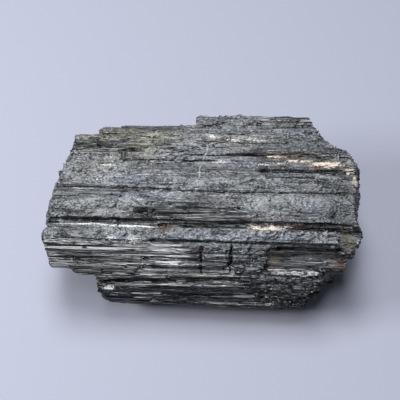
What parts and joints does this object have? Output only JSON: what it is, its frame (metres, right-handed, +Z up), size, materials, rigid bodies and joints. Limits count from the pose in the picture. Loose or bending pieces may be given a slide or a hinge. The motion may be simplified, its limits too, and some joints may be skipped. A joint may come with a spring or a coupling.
{
  "type": "tourmaline crystal",
  "caption": "Log of black tourmaline (schorl): long ribbed crystals grown side by side into one stone, with stepped broken ends; lies on a shelf or table as a mineral specimen",
  "frame": {"origin": "on the surface the stone lies on, under the middle of its bounding box", "axes": "+X along the crystals towards the crumbled end, +Y towards the back, so that the glossy front face looks along -Y, +Z up"},
  "size_m": [0.0942, 0.0568, 0.0355],
  "materials": {
    "schorl": "satin"
  },
  "bodies": {
    "root": {"tourmaline_crystal": "schorl"}
  },
  "joints": []
}
